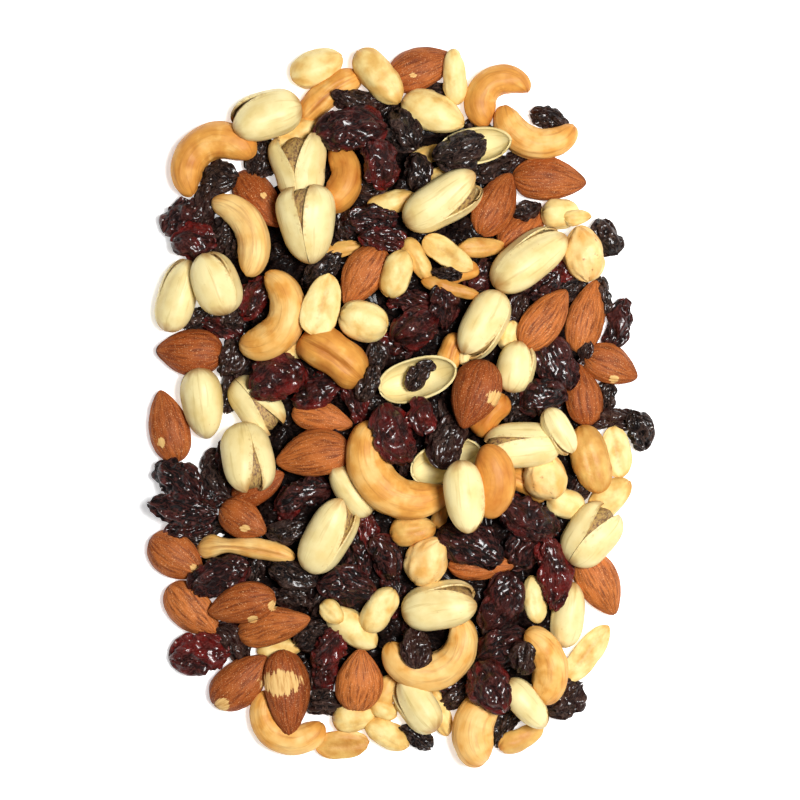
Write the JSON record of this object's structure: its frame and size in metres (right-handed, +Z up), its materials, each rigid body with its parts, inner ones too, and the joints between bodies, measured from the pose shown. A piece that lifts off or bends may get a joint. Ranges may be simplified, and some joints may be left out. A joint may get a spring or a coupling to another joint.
{
  "type": "heap of trail mix",
  "caption": "Low heap of mixed nuts and dried fruit lying on its flat underside, with no dish: almonds, cashews, pistachios, peanuts, hazelnuts, raisins and cranberries.",
  "frame": {"origin": "centre of the underside's bounding box, on the surface that the heap lies on", "axes": "+Z up, +Y along the heap's length towards its far end in the picture, +X to the right"},
  "size_m": [0.1542, 0.2188, 0.033],
  "materials": {
    "almond_skin": "dry brown skin with fine ridges",
    "roasted_cashew": "smooth and golden, with toasted patches",
    "pistachio_shell": "smooth pale shell",
    "pistachio_kernel": "mottled green and brown",
    "blanched_peanut": "pale yellow, matt",
    "hazelnut": "pale tan, matt",
    "raisin": "near black and wrinkled, with a soft gloss",
    "dried_cranberry": "dark red and wrinkled, glossy"
  },
  "bodies": {
    "root": {"trail_mix_heap": "almond_skin"}
  },
  "joints": []
}
